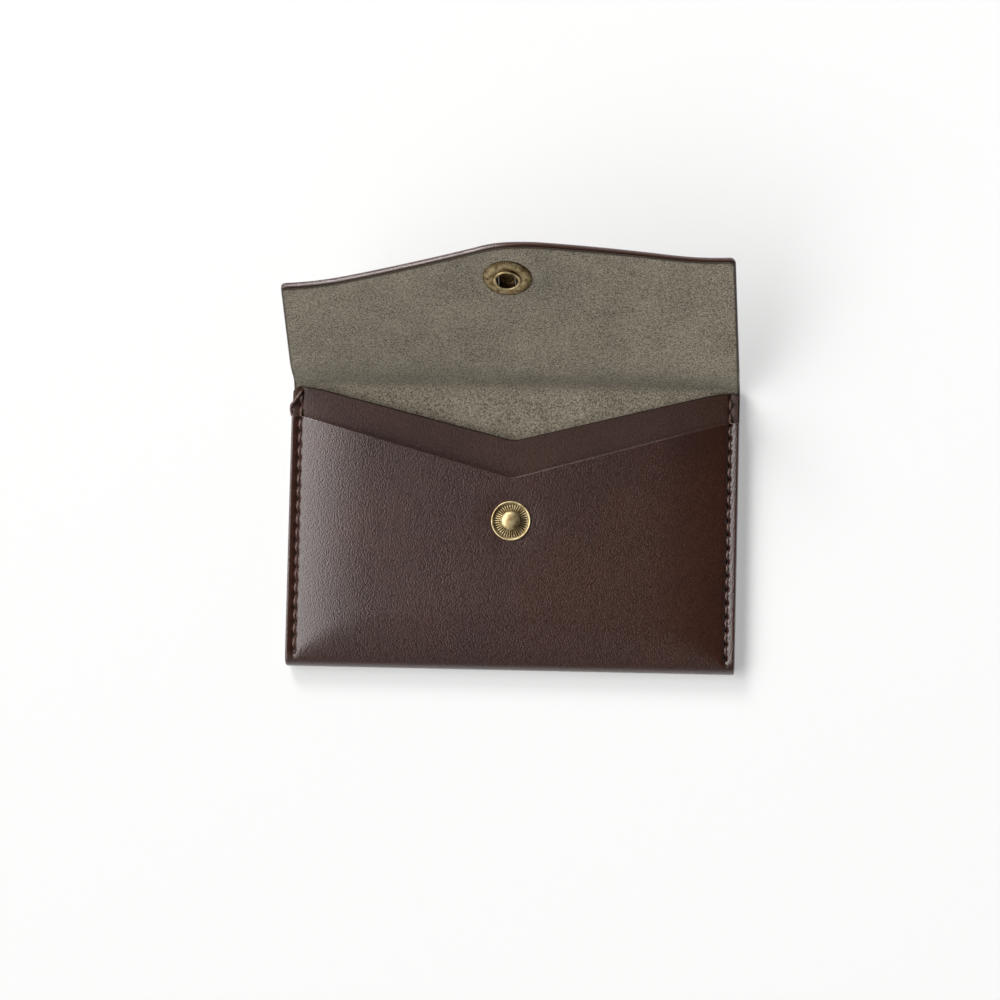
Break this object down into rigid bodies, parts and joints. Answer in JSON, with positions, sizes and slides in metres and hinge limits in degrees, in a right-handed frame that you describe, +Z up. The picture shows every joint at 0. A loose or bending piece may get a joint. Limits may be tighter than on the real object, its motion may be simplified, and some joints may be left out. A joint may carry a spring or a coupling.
{
  "type": "mini wallet",
  "caption": "Small leather snap wallet lying on its back with its pointed flap open, a notched front pocket, a notched divider and a brass snap fastener.",
  "frame": {"origin": "centre of the back's outer face, which lies on the table", "axes": "+X across the width to the right, +Y up the wallet towards the flap, +Z up out of the front"},
  "size_m": [0.105, 0.0951, 0.0453],
  "materials": {
    "outer_leather": "smooth dark brown leather with a fine pebbled grain and a soft sheen",
    "divider_leather": "smooth dark brown leather, satin",
    "suede_lining": "matt grey-olive microfibre suede with a fine speckle",
    "sewing_thread": "waxed brown sewing thread",
    "antique_brass": "darkened antique brass, worn bright on the high spots",
    "spring_steel": "drawn spring wire, slightly darkened"
  },
  "bodies": {
    "pocket": {"back_panel": "outer_leather", "bottom_fold": "outer_leather", "front_panel": "outer_leather", "back_lining": "suede_lining", "bottom_fold_lining": "suede_lining", "front_lining": "suede_lining", "divider": "divider_leather", "left_front_thread": "sewing_thread", "left_back_thread": "sewing_thread", "right_front_thread": "sewing_thread", "right_back_thread": "sewing_thread", "snap_stud": "antique_brass", "stud_eyelet": "antique_brass"},
    "spine": {"spine": "outer_leather", "spine_lining": "suede_lining"},
    "flap": {"flap_leather": "outer_leather", "flap_lining": "suede_lining", "snap_socket": "antique_brass", "socket_spring_left": "spring_steel", "socket_spring_right": "spring_steel", "snap_cap": "antique_brass"}
  },
  "joints": [
    {"name": "spine_fold", "type": "hinge", "parent": "pocket", "child": "spine", "pos_m": [0, 0.03305, 0.00095], "axis": [1, 0, 0], "range_deg": [-36, 18], "stiffness_Nm_per_rad": 0.03, "springref_deg": 2.35, "deforming": ["socket_spring_left", "socket_spring_right"]},
    {"name": "flap_fold", "type": "hinge", "parent": "spine", "child": "flap", "pos_m": [0, 0.03597, 0.00994], "axis": [1, 0, 0], "range_deg": [-6, 107], "stiffness_Nm_per_rad": 0.02, "springref_deg": 2.55, "deforming": ["socket_spring_left", "socket_spring_right"]}
  ]
}
